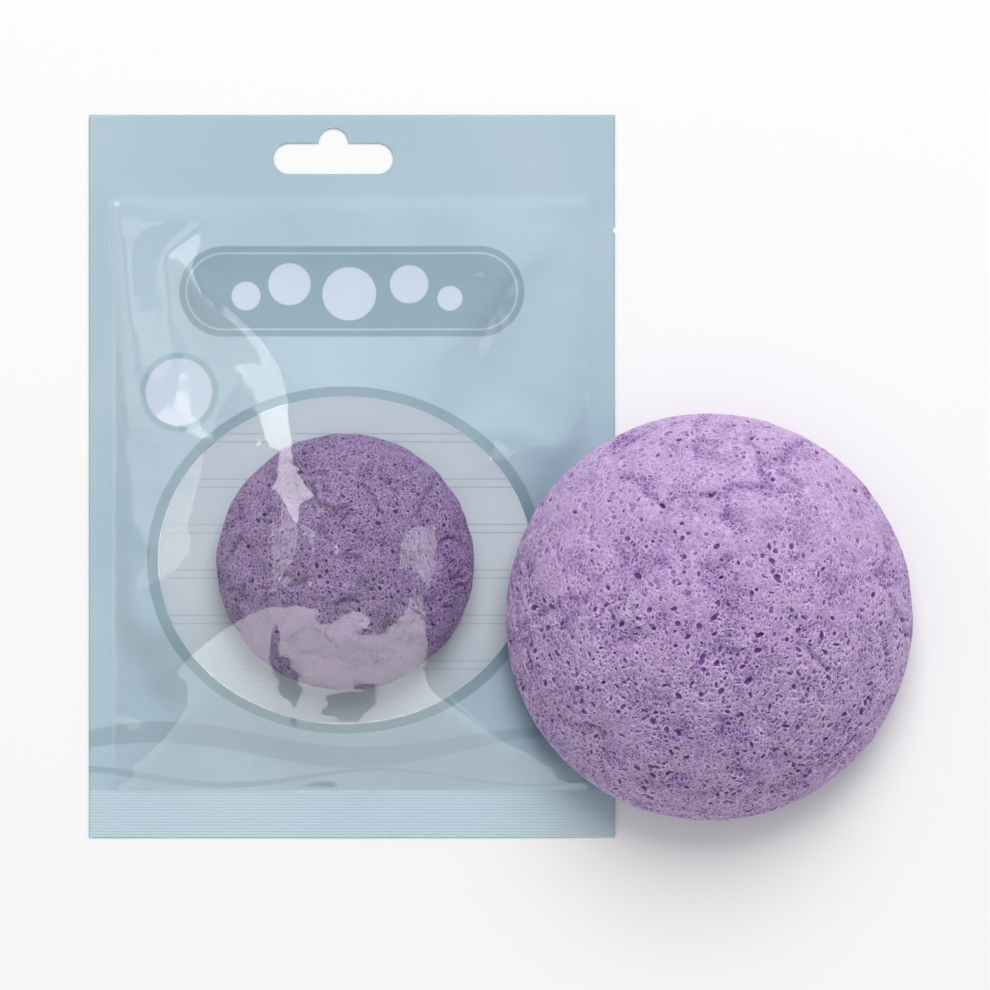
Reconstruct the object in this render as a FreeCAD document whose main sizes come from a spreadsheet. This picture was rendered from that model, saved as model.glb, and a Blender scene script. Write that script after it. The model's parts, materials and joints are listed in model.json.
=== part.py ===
import FreeCAD, Part
import os
from math import atan2, ceil, copysign, cos, degrees, exp, hypot, isclose, pi, radians, sin, sqrt

import Sketcher
from FreeCAD import Vector

# A konjac sponge as it is sold: the dry sponge lies in a flat hang pouch of two films that
# are sealed together along their edges, and the swollen sponge lies on the pouch's right edge.
# The pouch lies on its rear film, with the hang slot towards +Y. Lengths are in millimetres.

doc = FreeCAD.newDocument("konjac_sponge")
sheet = doc.addObject("Spreadsheet::Sheet", "sizes")

driving_sizes = (
    ("pouch_width", 110, "pouch, edge to edge across"),
    ("pouch_length", 151, "pouch, edge to edge from the header to the bottom"),
    ("film_thickness", 0.2, "each film"),
    ("top_seal", 17.5, "flat header above the filled part"),
    ("bottom_seal", 10, "flat seal at the bottom"),
    ("side_seal", 6, "flat seal along each side"),
    ("slot_length", 25, "hang slot, end to end"),
    ("slot_height", 6.5, "hang slot, without its bump"),
    ("bump_radius", 3.1, "round bump on the slot's upper edge, for a peg"),
    ("slot_from_top", 9.1, "pouch's top edge to the slot's middle line"),
    ("slot_left_of_middle", 3.9, "slot's middle, left of the pouch's middle line"),
    ("notch_depth", 0.8, "tear notch in the right edge"),
    ("notch_height", 1.6, "tear notch along the edge"),
    ("notch_from_top", 24, "pouch's top edge to the notch"),
    ("packed_diameter", 54, "dry sponge"),
    ("packed_height", 28, "dry sponge, base to crown"),
    ("packed_edge", 6, "radius of the dry sponge's base edge"),
    ("packed_below_middle", 18, "dry sponge's axis, below the pouch's middle"),
    ("packed_left_of_middle", 1.3, "dry sponge's axis, left of the pouch's middle"),
    ("packed_travel", 4, "how far the dry sponge slides up or down in the pouch"),
    ("packed_crease_length", 18, "length of a crease in the dry sponge's crown"),
    ("packed_crease_bend", 11, "radius that a crease's run bends to"),
    ("packed_crease_depth", 1.5, "deepest crease"),
    ("packed_crease_hollow", 4.5, "radius of a crease's hollow"),
    ("packed_crease_rounding", 2, "rounding of a crease's rim"),
    ("loose_diameter", 85, "swollen sponge"),
    ("loose_height", 42, "swollen sponge, base to crown"),
    ("loose_edge", 9, "radius of the swollen sponge's base edge"),
    ("loose_past_edge", 19.5, "swollen sponge's axis, outside the pouch's right edge"),
    ("loose_below_middle", 29.4, "swollen sponge's axis, below the pouch's middle"),
    ("loose_crease_length", 24, "length of a crease in the swollen sponge's crown"),
    ("loose_crease_bend", 15, "radius that a crease's run bends to"),
    ("loose_crease_depth", 1, "deepest crease"),
    ("loose_crease_hollow", 6, "radius of a crease's hollow"),
    ("loose_crease_rounding", 4, "rounding of a crease's rim"),
    ("crease_room", 2, "least room between two creases of a sponge"),
    ("film_slack", 1.8, "clearance between the dry sponge and the front film"),
    ("foot_tuck", 2, "how far the raised film reaches in under the swollen sponge's side"),
    ("rest_gap", 0.05, "clearance under each sponge's flat base"),
    ("pole_spacing", 3, "spacing of the control points of the front film's surface"),
    ("punch_margin", 1, "how far the punched cuts run past the films"),
)
# The foam is creased. Each crease has its middle's lean from the crown's top, its turn about the
# sponge's axis, and its heading there from straight downhill, all in degrees.
creases = {
    "packed": (
        {"lean": 12, "turn": 60, "heading": 100},
        {"lean": 44, "turn": 5, "heading": 40},
        {"lean": 42, "turn": 65, "heading": 130},
        {"lean": 43, "turn": 125, "heading": 20},
        {"lean": 41, "turn": 185, "heading": 150},
        {"lean": 44, "turn": 245, "heading": 60},
        {"lean": 42, "turn": 305, "heading": 10},
    ),
    "loose": (
        {"lean": 12, "turn": 40, "heading": 20},
        {"lean": 30, "turn": 100, "heading": 80},
        {"lean": 27, "turn": 200, "heading": 30},
        {"lean": 30, "turn": 300, "heading": 110},
        {"lean": 50, "turn": 20, "heading": 60},
        {"lean": 53, "turn": 70, "heading": 150},
        {"lean": 55, "turn": 105, "heading": 20},
        {"lean": 50, "turn": 145, "heading": 30},
        {"lean": 54, "turn": 190, "heading": 110},
        {"lean": 53, "turn": 225, "heading": 10},
        {"lean": 51, "turn": 260, "heading": 40},
        {"lean": 55, "turn": 295, "heading": 165},
        {"lean": 53, "turn": 335, "heading": 130},
    ),
}
# The slack film dips between the dry sponge and the seals. Each fold has its direction from the
# sponge's axis and its half width, in degrees, and its dip. A fold with a negative dip stands up.
film_folds = (
    {"direction": 48, "half_width": 10, "dip": 2.2},
    {"direction": 88, "half_width": 21, "dip": 5.2},
    {"direction": 140, "half_width": 25, "dip": 2.9},
    {"direction": 172, "half_width": 13, "dip": 2.2},
    {"direction": 196, "half_width": 12, "dip": -2.2},
    {"direction": 237, "half_width": 14, "dip": 2},
    {"direction": 297, "half_width": 12, "dip": -1},
)
for row, (alias, value, note) in enumerate(driving_sizes, start=1):
    sheet.set(f"A{row}", alias)
    sheet.set(f"B{row}", str(value))
    sheet.set(f"C{row}", note)
    sheet.setAlias(f"B{row}", alias)

# A sponge's crown is the ball that reaches its height and runs smoothly into its base edge.
crown_radius = (
    "=(({0}_diameter / 2 - {0}_edge) ^ 2 + ({0}_height - {0}_edge) ^ 2 - {0}_edge ^ 2)"
    " / (2 * ({0}_height - 2 * {0}_edge))"
)
# The origin is under the middle of the whole arrangement, at the floor.
worked_out_sizes = (
    ("overall_width", "=pouch_width + loose_past_edge + loose_diameter / 2"),
    ("pouch_left", "=-overall_width / 2"),
    ("pouch_bottom", "=-pouch_length / 2"),
    ("pouch_middle", "=pouch_left + pouch_width / 2"),
    ("packed_axis_across", "=pouch_middle - packed_left_of_middle"),
    ("loose_axis_across", "=pouch_left + pouch_width + loose_past_edge"),
    ("packed_base", "=film_thickness + rest_gap"),
    ("loose_base", "=2 * film_thickness + rest_gap"),
    ("packed_crown", crown_radius.format("packed")),
    ("loose_crown", crown_radius.format("loose")),
)
for row, (alias, formula) in enumerate(worked_out_sizes, start=len(driving_sizes) + 1):
    sheet.set(f"A{row}", alias)
    sheet.set(f"B{row}", formula)
    sheet.setAlias(f"B{row}", alias)
doc.recompute()


def size(alias):
    return float(sheet.get(alias))


def bind(thing, **expressions):
    for path, expression in expressions.items():
        thing.setExpression(path.replace("__", "."), expression)


def bind_base(thing, across="0", along="0", up="0"):
    for axis, expression in zip("xyz", (across, along, up)):
        thing.setExpression(f"Placement.Base.{axis}", expression)


def dimension(sketch, name, expression, *constraint):
    index = sketch.addConstraint(Sketcher.Constraint(*constraint))
    sketch.renameConstraint(index, name)
    sketch.setExpression(f"Constraints.{name}", expression)


def join_ends(sketch, pairs, tangent_pairs=()):
    # Geometry is numbered as it was added: 1 is a start and 2 is an end.
    for first, second in pairs:
        sketch.addConstraint(Sketcher.Constraint("Coincident", first, 2, second, 1))
    for first, second in tangent_pairs:
        sketch.addConstraint(Sketcher.Constraint("Tangent", first, 2, second, 1))


def arc(across, along, radius, start, end):
    circle = Part.Circle(Vector(across, along, 0), Vector(0, 0, 1), radius)
    return Part.ArcOfCircle(circle, start, end)


def line(start, end):
    return Part.LineSegment(Vector(*start, 0), Vector(*end, 0))


def draw_hang_slot():
    # A slot with full round ends and a half-round bump in the middle of its upper edge,
    # drawn about the slot's middle.
    sketch = doc.addObject("Sketcher::SketchObject", "hang_slot_outline")
    end = size("slot_height") / 2
    reach = size("slot_length") / 2 - end
    bump = size("bump_radius")
    bottom, right, top_right, top, top_left, left = range(6)
    sketch.addGeometry(
        [
            line((-reach, -end), (reach, -end)),
            arc(reach, 0, end, -pi / 2, pi / 2),
            line((reach, end), (bump, end)),
            arc(0, end, bump, 0, pi),
            line((-bump, end), (-reach, end)),
            arc(-reach, 0, end, pi / 2, 3 * pi / 2),
        ],
        False,
    )
    sketch.addConstraint(Sketcher.Constraint("Tangent", bottom, 2, right, 1))
    sketch.addConstraint(Sketcher.Constraint("Tangent", right, 2, top_right, 1))
    sketch.addConstraint(Sketcher.Constraint("Coincident", top_right, 2, top, 1))
    sketch.addConstraint(Sketcher.Constraint("Coincident", top, 2, top_left, 1))
    sketch.addConstraint(Sketcher.Constraint("Tangent", top_left, 2, left, 1))
    sketch.addConstraint(Sketcher.Constraint("Tangent", left, 2, bottom, 1))
    for level in (top_right, top_left):
        sketch.addConstraint(Sketcher.Constraint("Horizontal", level))
    # Both ends lie on the middle line, and the bump stands over the middle.
    sketch.addConstraint(Sketcher.Constraint("PointOnObject", right, 3, -1))
    sketch.addConstraint(Sketcher.Constraint("PointOnObject", top, 3, -2))
    sketch.addConstraint(Sketcher.Constraint("Symmetric", top, 1, top, 2, top, 3))
    sketch.addConstraint(Sketcher.Constraint("Symmetric", bottom, 1, bottom, 2, -2))
    dimension(sketch, "end", "sizes.slot_height / 2", "Radius", right, end)
    dimension(sketch, "bump", "sizes.bump_radius", "Radius", top, bump)
    straight = "sizes.slot_length - sizes.slot_height"
    dimension(sketch, "straight", straight, "DistanceX", bottom, 1, bottom, 2, 2 * reach)
    bind_base(
        sketch,
        "sizes.pouch_middle - sizes.slot_left_of_middle",
        "sizes.pouch_bottom + sizes.pouch_length - sizes.slot_from_top",
        "-sizes.punch_margin",
    )
    return sketch


def draw_tear_notch():
    # A small V with its point inwards, drawn about the middle of its open side, which
    # stands outside the pouch's edge by the punch margin.
    sketch = doc.addObject("Sketcher::SketchObject", "tear_notch_outline")
    depth = size("notch_depth")
    half = size("notch_height") / 2
    beyond = size("punch_margin")
    half_outside = half * (depth + beyond) / depth
    upper, open_side, lower = range(3)
    sketch.addGeometry(
        [
            line((-depth, 0), (beyond, half_outside)),
            line((beyond, half_outside), (beyond, -half_outside)),
            line((beyond, -half_outside), (-depth, 0)),
        ],
        False,
    )
    join_ends(sketch, ((upper, open_side), (open_side, lower), (lower, upper)))
    sketch.addConstraint(Sketcher.Constraint("PointOnObject", upper, 1, -1))
    sketch.addConstraint(Sketcher.Constraint("Symmetric", upper, 2, lower, 1, -1))
    dimension(sketch, "depth", "sizes.notch_depth", "DistanceX", upper, 1, -1, 1, depth)
    dimension(sketch, "beyond", "sizes.punch_margin", "DistanceX", -1, 1, upper, 2, beyond)
    dimension(
        sketch,
        "open",
        "sizes.notch_height * (sizes.notch_depth + sizes.punch_margin) / sizes.notch_depth",
        "DistanceY",
        open_side,
        2,
        open_side,
        1,
        2 * half_outside,
    )
    bind_base(
        sketch,
        "sizes.pouch_left + sizes.pouch_width",
        "sizes.pouch_bottom + sizes.pouch_length - sizes.notch_from_top",
        "-sizes.punch_margin",
    )
    return sketch


def make_punch():
    # The slot and the notch are punched through both films at once.
    cutters = []
    for outline in (draw_hang_slot(), draw_tear_notch()):
        cutter = doc.addObject("Part::Extrusion", outline.Name.replace("outline", "cutter"))
        cutter.Base = outline
        cutter.DirMode = "Custom"
        cutter.Dir = Vector(0, 0, 1)
        cutter.Solid = True
        bind(cutter, LengthFwd="2 * (sizes.film_thickness + sizes.punch_margin)")
        cutters.append(cutter)
    punch = doc.addObject("Part::MultiFuse", "punch")
    punch.Shapes = cutters
    return punch


def make_rear_film(punch):
    blank = doc.addObject("Part::Box", "rear_blank")
    bind(blank, Length="sizes.pouch_width", Width="sizes.pouch_length", Height="sizes.film_thickness")
    bind_base(blank, "sizes.pouch_left", "sizes.pouch_bottom")
    return punched("rear_film", blank, punch)


def punched(label, blank, punch):
    film = doc.addObject("Part::Cut", label)
    film.Label = label
    film.Base = blank
    film.Tool = punch
    return film


def dome_outline(steps=24):
    # Points of the dry sponge's crown from its top to its widest ring, as distance from
    # the axis and height over the seals, grown by the film's slack.
    grown = size("packed_crown") + size("film_slack")
    middle = size("rest_gap") + size("packed_height") - size("packed_crown")
    quarter = [pi / 2 * step / steps for step in range(steps + 1)]
    return [(grown * sin(turn), middle + grown * cos(turn)) for turn in quarter]


def fold_dip(direction):
    dip = 0
    for fold in film_folds:
        turn = (direction - fold["direction"] + 180) % 360 - 180
        dip += fold["dip"] * exp(-((turn / fold["half_width"]) ** 2))
    return dip


def film_height(across, along, outline):
    # The film is drawn from the nearest seal, or from under the swollen sponge, up to the
    # dry sponge, with a dip that is deepest half way, and lies over its crown from there. The
    # dry sponge counts at every place of its travel.
    travel = size("packed_travel")
    beside = across - size("packed_axis_across")
    ahead = along + size("packed_below_middle")
    past = max(abs(ahead) - travel, 0)
    reach = hypot(beside, past)
    left = size("pouch_left") + size("side_seal")
    right = size("pouch_left") + size("pouch_width") - size("side_seal")
    low = size("pouch_bottom") + size("bottom_seal")
    high = size("pouch_bottom") + size("pouch_length") - size("top_seal")
    pressed = size("loose_diameter") / 2 - size("foot_tuck")
    from_loose = hypot(across - size("loose_axis_across"), along + size("loose_below_middle"))
    room = min(across - left, right - across, along - low, high - along, from_loose - pressed)
    if room <= 0:
        return 0
    dip = fold_dip(degrees(atan2(copysign(past, ahead), beside)))
    heights = [0]
    for out, level in outline:
        if out <= reach:
            share = room / (reach + room - out)
            heights.append(level * share - 4 * dip * share * (1 - share))
    return max(heights)


def pole_places(start, length):
    # Control points at the means of three knots in a row, where a cubic surface runs evenly.
    spans = ceil(length / size("pole_spacing"))
    knots = [0] * 3 + list(range(spans + 1)) + [spans] * 3
    means = [sum(knots[i + 1 : i + 4]) / 3 for i in range(spans + 3)]
    return [start + length * mean / spans for mean in means], spans


def make_front_sheet():
    outline = dome_outline()
    columns, spans_across = pole_places(size("pouch_left"), size("pouch_width"))
    rows, spans_along = pole_places(size("pouch_bottom"), size("pouch_length"))
    seal_level = size("film_thickness")
    poles = [
        [Vector(across, along, seal_level + film_height(across, along, outline)) for along in rows]
        for across in columns
    ]
    surface = Part.BSplineSurface()
    surface.buildFromPolesMultsKnots(
        poles,
        [4] + [1] * (spans_across - 1) + [4],
        [4] + [1] * (spans_along - 1) + [4],
        list(range(spans_across + 1)),
        list(range(spans_along + 1)),
        False,
        False,
        3,
        3,
    )
    raised = doc.addObject("Part::Feature", "front_sheet")
    raised.Shape = surface.toShape().extrude(Vector(0, 0, seal_level))
    return raised


def make_front_film(punch):
    return punched("front_film", make_front_sheet(), punch)


def origin_plane(body, role):
    return next(plane for plane in body.Origin.OriginFeatures if plane.Role == role)


def make_half_ball(part):
    # A flat base, a round edge and a crown that is tangent to it, turned about the axis.
    body = doc.addObject("PartDesign::Body", f"{part}_half_ball")
    height = size(f"{part}_height")
    edge = size(f"{part}_edge")
    flat = size(f"{part}_diameter") / 2 - edge
    crown = size(f"{part}_crown")
    lean = atan2(edge + crown - height, flat)
    profile = body.newObject("Sketcher::SketchObject", f"{part}_profile")
    profile.AttachmentSupport = (origin_plane(body, "XZ_Plane"), [""])
    profile.MapMode = "FlatFace"
    base, rim, dome, axis = range(4)
    profile.addGeometry(
        [
            line((0, 0), (flat, 0)),
            arc(flat, edge, edge, -pi / 2, lean),
            arc(0, height - crown, crown, lean, pi / 2),
            line((0, height), (0, 0)),
        ],
        False,
    )
    join_ends(profile, ((dome, axis), (axis, base)), ((base, rim), (rim, dome)))
    profile.addConstraint(Sketcher.Constraint("Coincident", base, 1, -1, 1))
    profile.addConstraint(Sketcher.Constraint("Horizontal", base))
    profile.addConstraint(Sketcher.Constraint("Vertical", axis))
    profile.addConstraint(Sketcher.Constraint("PointOnObject", dome, 3, -2))
    dimension(profile, "edge", f"sizes.{part}_edge", "Radius", rim, edge)
    flat_reach = f"sizes.{part}_diameter / 2 - sizes.{part}_edge"
    dimension(profile, "flat", flat_reach, "DistanceX", -1, 1, rim, 3, flat)
    dimension(profile, "height", f"sizes.{part}_height", "DistanceY", -1, 1, axis, 1, height)
    turned = body.newObject("PartDesign::Revolution", f"{part}_dome")
    turned.Profile = profile
    turned.ReferenceAxis = (profile, ["V_Axis"])
    turned.Angle = 360
    bind_base(body, f"sizes.{part}_axis_across", f"-sizes.{part}_below_middle", f"sizes.{part}_base")
    return body


def make_crease_rings(part):
    # A crease is cut by a ring that dips into the crown and leaves it again where the crease ends.
    # A wave, in radians from one crease to the next, sets how deep each one is.
    depth_step = 2.4
    shallowest_share = 0.7
    hollow = size(f"{part}_crease_hollow")
    bend = size(f"{part}_crease_bend")
    half_turn = size(f"{part}_crease_length") / 2 / bend
    deepest = size(f"{part}_crease_depth")
    mean_depth = deepest * (1 + shallowest_share) / 2
    crown = size(f"{part}_crown")
    middle = size(f"{part}_base") + size(f"{part}_height") - crown
    crown_middle = Vector(size(f"{part}_axis_across"), -size(f"{part}_below_middle"), middle)
    rings = []
    for number, crease in enumerate(creases[part]):
        lean, turn, heading = (radians(crease[angle]) for angle in ("lean", "turn", "heading"))
        outward = Vector(sin(lean) * cos(turn), sin(lean) * sin(turn), cos(lean))
        downhill = Vector(cos(lean) * cos(turn), cos(lean) * sin(turn), -sin(lean))
        run = downhill * cos(heading) + outward.cross(downhill) * sin(heading)
        depth = mean_depth + (deepest - mean_depth) * sin(depth_step * number)
        reach = crown + hollow - depth
        # The ring leans out of the crown just enough to clear it at the crease's ends.
        dip = bend / reach - depth / (bend * (1 - cos(half_turn)))
        inward = outward.cross(run) * sqrt(1 - dip**2) - outward * dip
        ring = doc.addObject("Part::Torus", f"{part}_crease_{number + 1}")
        bind(ring, Radius1=f"sizes.{part}_crease_bend", Radius2=f"sizes.{part}_crease_hollow")
        place = crown_middle + outward * reach + inward * bend
        ring.Placement = FreeCAD.Placement(place, FreeCAD.Rotation(inward, run, inward.cross(run)))
        rings.append(ring)
    return rings


def make_creased_sponge(label, part):
    # The half ball with its creases, whose rims are rounded. A smaller sponge has fewer of them,
    # as a crease that would come too close to one before it is left out.
    creased = make_half_ball(part)
    rings = make_crease_rings(part)
    doc.recompute()
    half_ball = creased.Shape
    room = size("crease_room")
    grooves = []
    for ring in rings:
        groove = half_ball.common(ring.Shape)
        if all(groove.distToShape(other)[0] >= room for other in grooves):
            grooves.append(groove)
            cut = doc.addObject("Part::Cut", f"{ring.Name}_cut")
            cut.Base = creased
            cut.Tool = ring
            creased = cut
    doc.recompute()
    hollow = size(f"{part}_crease_hollow")
    rounding = size(f"{part}_crease_rounding")
    shape = creased.Shape
    rims = []
    for number, edge in enumerate(shape.Edges, start=1):
        surfaces = [face.Surface for face in shape.ancestorsOfType(edge, Part.Face)]
        turned = [surface for surface in surfaces if isinstance(surface, Part.Toroid)]
        hollows = [surface for surface in turned if isclose(surface.MinorRadius, hollow)]
        if len(hollows) == 1 and len(surfaces) == 2:
            rims.append((number, rounding, rounding))
    sponge = doc.addObject("Part::Fillet", label)
    sponge.Label = label
    sponge.Base = creased
    sponge.Edges = rims
    return sponge


punch = make_punch()
sub_parts = (
    make_rear_film(punch),
    make_front_film(punch),
    make_creased_sponge("packed_sponge", "packed"),
    make_creased_sponge("loose_sponge", "loose"),
)
doc.recompute()

for thing in doc.Objects:
    failed = {"Invalid", "Error"} & set(thing.State)
    assert not failed, f"{thing.Label}: {thing.State}"
os.makedirs("parts", exist_ok=True)
for sub_part in sub_parts:
    shape = sub_part.Shape
    assert not shape.isNull() and shape.isValid(), sub_part.Label
    assert len(shape.Solids) == 1, sub_part.Label
    box = shape.BoundBox
    lengths = f"{box.XLength:.1f} x {box.YLength:.1f} x {box.ZLength:.1f} mm"
    print(f"{sub_part.Label}: {lengths}, {shape.Volume:.0f} mm3, {len(shape.Faces)} faces")
    shape.exportStep(f"parts/{sub_part.Label}.step")
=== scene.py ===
import json
from math import atan2, cos, pi, sin

import bmesh
import bpy
import numpy as np
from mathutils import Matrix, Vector, noise
from mathutils.bvhtree import BVHTree


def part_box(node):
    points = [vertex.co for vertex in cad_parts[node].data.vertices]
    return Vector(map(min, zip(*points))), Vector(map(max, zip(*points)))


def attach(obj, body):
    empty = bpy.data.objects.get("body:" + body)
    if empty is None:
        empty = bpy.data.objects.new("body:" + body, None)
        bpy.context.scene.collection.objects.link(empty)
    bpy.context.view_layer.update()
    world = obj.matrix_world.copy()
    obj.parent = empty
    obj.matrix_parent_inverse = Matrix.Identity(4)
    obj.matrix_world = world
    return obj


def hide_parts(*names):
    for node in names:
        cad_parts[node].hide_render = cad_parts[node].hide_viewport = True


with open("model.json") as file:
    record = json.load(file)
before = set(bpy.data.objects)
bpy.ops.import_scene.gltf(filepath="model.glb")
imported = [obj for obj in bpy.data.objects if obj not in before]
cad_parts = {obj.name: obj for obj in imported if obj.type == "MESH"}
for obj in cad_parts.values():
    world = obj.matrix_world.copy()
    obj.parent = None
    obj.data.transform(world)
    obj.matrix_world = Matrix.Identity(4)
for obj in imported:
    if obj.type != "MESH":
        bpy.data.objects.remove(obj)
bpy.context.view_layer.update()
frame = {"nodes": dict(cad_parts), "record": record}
mm = 0.001
scene = bpy.context.scene
scene.view_settings.view_transform = "Standard"


# Small helpers

def tone(red, green, blue):
    # a screen colour, 0 to 255, as the shader reads it
    linear = [((c / 255 + 0.055) / 1.055) ** 2.4 if c > 10 else c / 255 / 12.92 for c in (red, green, blue)]
    return (*linear, 1.0)


def addNode(tree, kind, feeds=None, **settings):
    made = tree.nodes.new(kind)
    for name, value in settings.items():
        setattr(made, name, value)
    for name, value in (feeds or {}).items():
        feed(tree, made.inputs[name], value)
    return made


def feed(tree, socket, value):
    if isinstance(value, bpy.types.NodeSocket):
        tree.links.new(value, socket)
    else:
        socket.default_value = value


def calc(tree, operation, *values):
    made = addNode(tree, "ShaderNodeMath", operation=operation)
    for socket, value in zip(made.inputs, values):
        feed(tree, socket, value)
    return made.outputs[0]


def vectorCalc(tree, operation, first, second):
    made = addNode(tree, "ShaderNodeVectorMath", operation=operation)
    feed(tree, made.inputs[0], first)
    feed(tree, made.inputs["Scale"] if operation == "SCALE" else made.inputs[1], second)
    return made.outputs[0]


def between(tree, value, low, high, first=0.0, last=1.0, smooth=True):
    kind = "SMOOTHSTEP" if smooth else "LINEAR"
    made = addNode(tree, "ShaderNodeMapRange", interpolation_type=kind)
    names = ("Value", "From Min", "From Max", "To Min", "To Max")
    for name, number in zip(names, (value, low, high, first, last)):
        feed(tree, made.inputs[name], number)
    return made.outputs["Result"]


def noiseAt(tree, place, scale, detail, roughness=0.5):
    values = {"Vector": place, "Scale": scale, "Detail": detail, "Roughness": roughness}
    return addNode(tree, "ShaderNodeTexNoise", values)


def blendColour(tree, share, first, second):
    made = addNode(tree, "ShaderNodeMix", data_type="RGBA")
    feed(tree, made.inputs["Factor"], share)
    colours = [s for s in made.inputs if s.type == "RGBA"]
    feed(tree, colours[0], first)
    feed(tree, colours[1], second)
    return next(s for s in made.outputs if s.type == "RGBA")


def newGroup(name, kind, inputs, outputs):
    group = bpy.data.node_groups.new(name, kind)
    for socketName, socketKind in inputs:
        group.interface.new_socket(socketName, in_out="INPUT", socket_type=socketKind)
    for socketName, socketKind in outputs:
        group.interface.new_socket(socketName, in_out="OUTPUT", socket_type=socketKind)
    start = group.nodes.new("NodeGroupInput")
    end = group.nodes.new("NodeGroupOutput")
    return group, start.outputs, end.inputs


def newMaterial(name):
    material = bpy.data.materials.new(name)
    material.use_nodes = True
    tree = material.node_tree
    shader = tree.nodes["Principled BSDF"]
    return material, tree, shader


def showMesh(name, mesh, material=None):
    piece = bpy.data.objects.new(name, mesh)
    scene.collection.objects.link(piece)
    if material:
        mesh.materials.clear()
        mesh.materials.append(material)
    return piece


def squareMesh(name, half, level):
    mesh = bpy.data.meshes.new(name)
    corners = [(-half, -half, level), (half, -half, level), (half, half, level), (-half, half, level)]
    mesh.from_pydata(corners, [], [(0, 1, 2, 3)])
    return mesh


def plainMesh(piece, name):
    # the evaluated piece as a mesh of its own, with no modifiers left
    graph = bpy.context.evaluated_depsgraph_get()
    mesh = bpy.data.meshes.new_from_object(piece.evaluated_get(graph))
    mesh.name = name
    piece.modifiers.clear()
    piece.data = mesh
    return piece


# Foam

foam = {
    "looseEdge": 9 * mm,           # radius of the base edge
    "packedEdge": 6 * mm,
    "profileSteps": 400,           # points on each stretch of the profile
    "baseToSide": (-0.95, -0.3),   # upward part of the normal, from the still base to the moving side
    "lumpRange": (0.3, 0.7),       # of the noise that makes the lumps
    "lumpFacing": (0.0, 0.4),      # upward part of the normal over which lumps grow to full depth
    "lumpLeast": 0.4,              # share of their depth on the steep side
    "creaseFacing": (0.1, 0.5),    # the same for creases, which end on the steep side
    "creaseStray": 0.012,          # how far a crease winds, in metres
    "creaseHalf": 0.15,            # half its width, as a share of the cells between creases
    "creaseFade": (0.43, 0.58),    # creases come and go over this range of a noise
    "thinScale": 60.0,             # noise that thins out the pores, and its step from size to size
    "thinStep": 25.0,
    "thinRange": (0.3, 0.6),
    "thinLeast": 0.3,              # share of the pores where they are thinnest
    "poresMost": 4e6,              # on a square metre
    "smallMore": 2.2,              # power that makes small pores the more common ones
    "bubbleStretch": ((0.8, 0.55, 0.7), (1.5, 1.0, 1.1)),
}
poreSizes = {"Large": 2, "Middle": 2, "Small": 1}   # how often the ball of such a bubble is subdivided


def halfBall(node, edge, divisions):
    # an even triangle mesh of the sponge's own half ball, grown from a sphere of even faces
    low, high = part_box(node)
    middle = (low + high) / 2
    radius = (high.x - low.x) / 2
    height = high.z - low.z
    flat = radius - edge
    crown = (flat ** 2 + (height - edge) ** 2 - edge ** 2) / (2 * (height - 2 * edge))
    lean = atan2(edge + crown - height, flat)
    turns = np.linspace(0, 1, foam["profileSteps"])
    rimTurns = -pi / 2 + (lean + pi / 2) * turns
    domeTurns = lean + (pi / 2 - lean) * turns
    out = np.concatenate([flat * turns, flat + edge * np.cos(rimTurns), crown * np.cos(domeTurns)])
    dome = height - crown + crown * np.sin(domeTurns)
    up = np.concatenate([0 * turns, edge + edge * np.sin(rimTurns), dome])
    along = np.concatenate([[0], np.cumsum(np.hypot(np.diff(out), np.diff(up)))])
    along /= along[-1]
    sphere = bmesh.new()
    bmesh.ops.create_icosphere(sphere, subdivisions=divisions, radius=1)
    for vertex in sphere.verts:
        x, y, z = vertex.co
        share = 1 - np.arccos(np.clip(z, -1, 1)) / pi
        ring = float(np.interp(share, along, out))
        level = float(np.interp(share, along, up))
        turn = atan2(y, x)
        vertex.co = (middle.x + ring * cos(turn), middle.y + ring * sin(turn), low.z + level)
    mesh = bpy.data.meshes.new(node + "HalfBall")
    sphere.to_mesh(mesh)
    sphere.free()
    return mesh


def nodeSurface(node):
    source = frame["nodes"][node].data
    return BVHTree.FromPolygons([v.co for v in source.vertices], [p.vertices for p in source.polygons])


def layOnSolid(mesh, node):
    # takes the half ball to the sponge's own solid, with its creases
    surface = nodeSurface(node)
    for vertex in mesh.vertices:
        vertex.co = surface.find_nearest(vertex.co)[0]
    return mesh


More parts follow.
